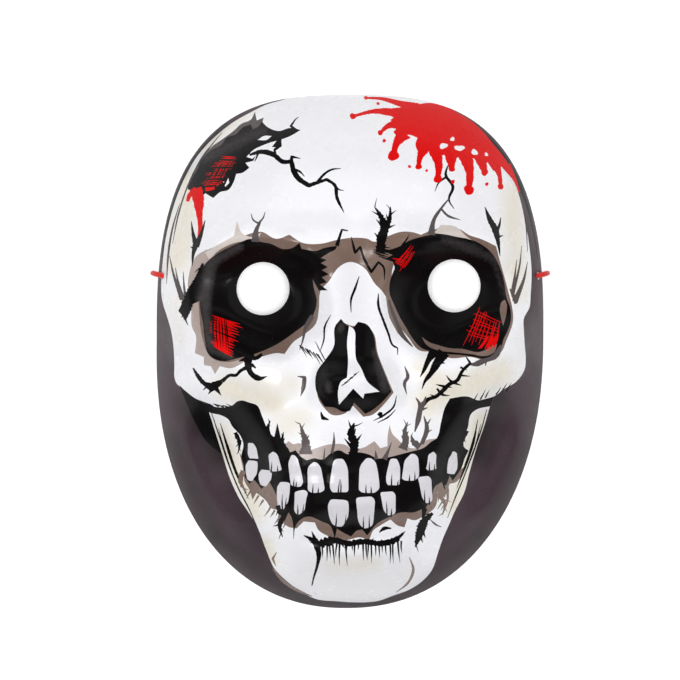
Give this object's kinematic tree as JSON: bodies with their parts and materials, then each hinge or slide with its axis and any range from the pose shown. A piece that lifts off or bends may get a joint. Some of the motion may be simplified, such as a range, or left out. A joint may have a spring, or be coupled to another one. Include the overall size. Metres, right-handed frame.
{
  "type": "skull face mask",
  "caption": "Thin plastic full-face mask formed as a skull, with two round eye holes and an elastic cord tied round its edge at the temples.",
  "frame": {"origin": "middle of the shell's width and length, on the surface that its rim rests on", "axes": "+Y towards the crown, +X to the right as seen from the front, +Z out of the face"},
  "size_m": [0.164, 0.211, 0.0648],
  "materials": {
    "printed_plastic": "thin formed plastic sheet, printed white, cream, grey, black and red, glossy outside",
    "red_elastic": "braided round elastic cord"
  },
  "bodies": {
    "root": {"mask_shell": "printed_plastic", "left_edge_loop": "red_elastic", "left_knot": "red_elastic", "right_edge_loop": "red_elastic", "right_knot": "red_elastic", "elastic_cord": "red_elastic"}
  },
  "joints": []
}
